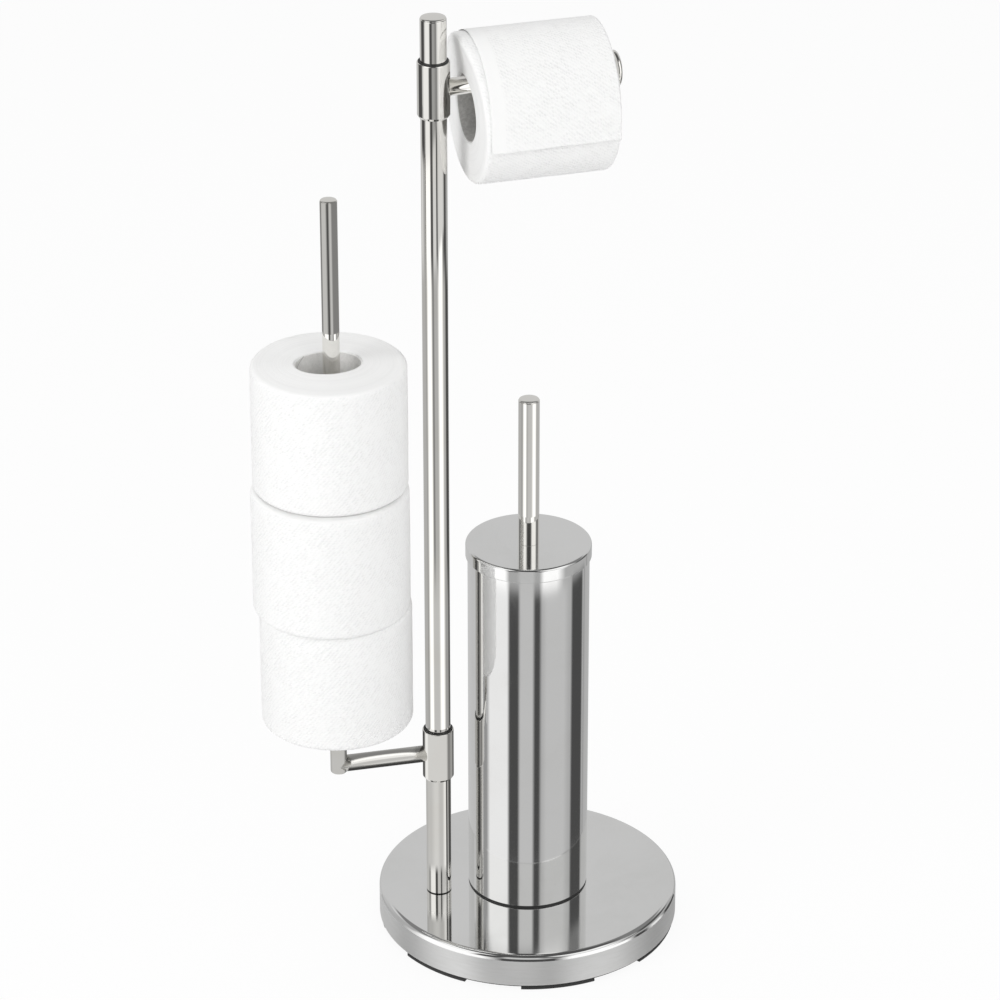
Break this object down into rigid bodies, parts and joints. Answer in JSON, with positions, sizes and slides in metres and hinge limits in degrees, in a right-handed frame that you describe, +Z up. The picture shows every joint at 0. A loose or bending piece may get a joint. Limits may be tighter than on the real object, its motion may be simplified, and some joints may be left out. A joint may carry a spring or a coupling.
{
  "type": "toilet roll and brush stand",
  "caption": "Free-standing bathroom stand: weighted round base, polished pole, level arm with a hanging roll, spindle with spare rolls, and a lidded can with its brush.",
  "frame": {"origin": "on the floor, under the axis of the brush can and of the round base", "axes": "+Z up along the can's axis; the pole stands on the -X side, the hanging roll's arm points to +X, and -Y is the front"},
  "size_m": [0.3278, 0.232, 0.754],
  "materials": {
    "polished_steel": "polished",
    "zinc_steel": "satin",
    "iron": "cast",
    "rubber": "matte",
    "dark_plastic": "matte",
    "black_steel": "satin",
    "pale_plastic": "matte",
    "bristles": "matte",
    "paper": "embossed",
    "cardboard": "matte"
  },
  "bodies": {
    "stand": {"foot_1": "rubber", "foot_2": "rubber", "foot_3": "rubber", "foot_4": "rubber", "foot_5": "rubber", "foot_6": "rubber", "foot_7": "rubber", "centre_foot": "rubber", "base_plate": "dark_plastic", "plate_screw_1": "zinc_steel", "plate_screw_2": "zinc_steel", "plate_screw_3": "zinc_steel", "base_weight": "iron", "base_shell": "polished_steel", "pole_bolt": "zinc_steel", "pole_washer": "zinc_steel", "pole_plug": "zinc_steel", "pole_tube": "polished_steel", "pole_cap": "polished_steel", "can_ring": "dark_plastic", "can_shell": "polished_steel", "can_screw": "zinc_steel", "can_washer": "zinc_steel", "can_pot": "pale_plastic"},
    "brush": {"lid": "polished_steel", "lid_plug": "dark_plastic", "handle_tube": "polished_steel", "handle_plug": "zinc_steel", "handle_cap": "polished_steel", "brush_stem": "dark_plastic", "brush_head": "pale_plastic", "brush_bristles": "bristles"},
    "upper_clamp": {"upper_bush": "dark_plastic"},
    "upper_holder": {"upper_sleeve": "polished_steel", "upper_grub_screw": "black_steel", "upper_arm": "polished_steel", "arm_stop": "polished_steel", "hanging_sheet": "paper"},
    "hanging_roll": {"hanging_paper": "paper", "hanging_core": "cardboard"},
    "lower_clamp": {"lower_bush": "dark_plastic"},
    "lower_holder": {"lower_sleeve": "polished_steel", "lower_grub_screw": "black_steel", "lower_arm": "polished_steel", "roll_spindle": "polished_steel", "spindle_cap": "polished_steel", "roll_rest": "polished_steel"},
    "spare_roll_1": {"spare_paper_1": "paper", "spare_core_1": "cardboard"},
    "spare_roll_2": {"spare_paper_2": "paper", "spare_core_2": "cardboard"},
    "spare_roll_3": {"spare_paper_3": "paper", "spare_core_3": "cardboard"}
  },
  "joints": [
    {"name": "brush_lift", "type": "slide", "parent": "stand", "child": "brush", "axis": [0, 0, 1], "range_m": [0, 0.15]},
    {"name": "upper_height", "type": "slide", "parent": "stand", "child": "upper_clamp", "axis": [0, 0, 1], "range_m": [-0.1, 0.03]},
    {"name": "upper_swivel", "type": "hinge", "parent": "upper_clamp", "child": "upper_holder", "pos_m": [-0.071, 0, 0.699], "axis": [0, 0, 1], "range_deg": [-90, 90]},
    {"name": "hanging_roll_spin", "type": "hinge", "parent": "upper_holder", "child": "hanging_roll", "pos_m": [0.0044, 0.00395, 0.68145], "axis": [0.9986, 0.0523, 0], "continuous": true},
    {"name": "lower_height", "type": "slide", "parent": "stand", "child": "lower_clamp", "axis": [0, 0, 1], "range_m": [-0.09, 0.1]},
    {"name": "lower_swivel", "type": "hinge", "parent": "lower_clamp", "child": "lower_holder", "pos_m": [-0.071, 0, 0.153], "axis": [0, 0, 1], "range_deg": [-80, 80]},
    {"name": "spare_roll_1_lift", "type": "slide", "parent": "lower_holder", "child": "spare_roll_1", "axis": [0, 0, 1], "range_m": [0, 0.43]},
    {"name": "spare_roll_2_lift", "type": "slide", "parent": "spare_roll_1", "child": "spare_roll_2", "axis": [0, 0, 1], "range_m": [0, 0.335]},
    {"name": "spare_roll_3_lift", "type": "slide", "parent": "spare_roll_2", "child": "spare_roll_3", "axis": [0, 0, 1], "range_m": [0, 0.235]}
  ]
}
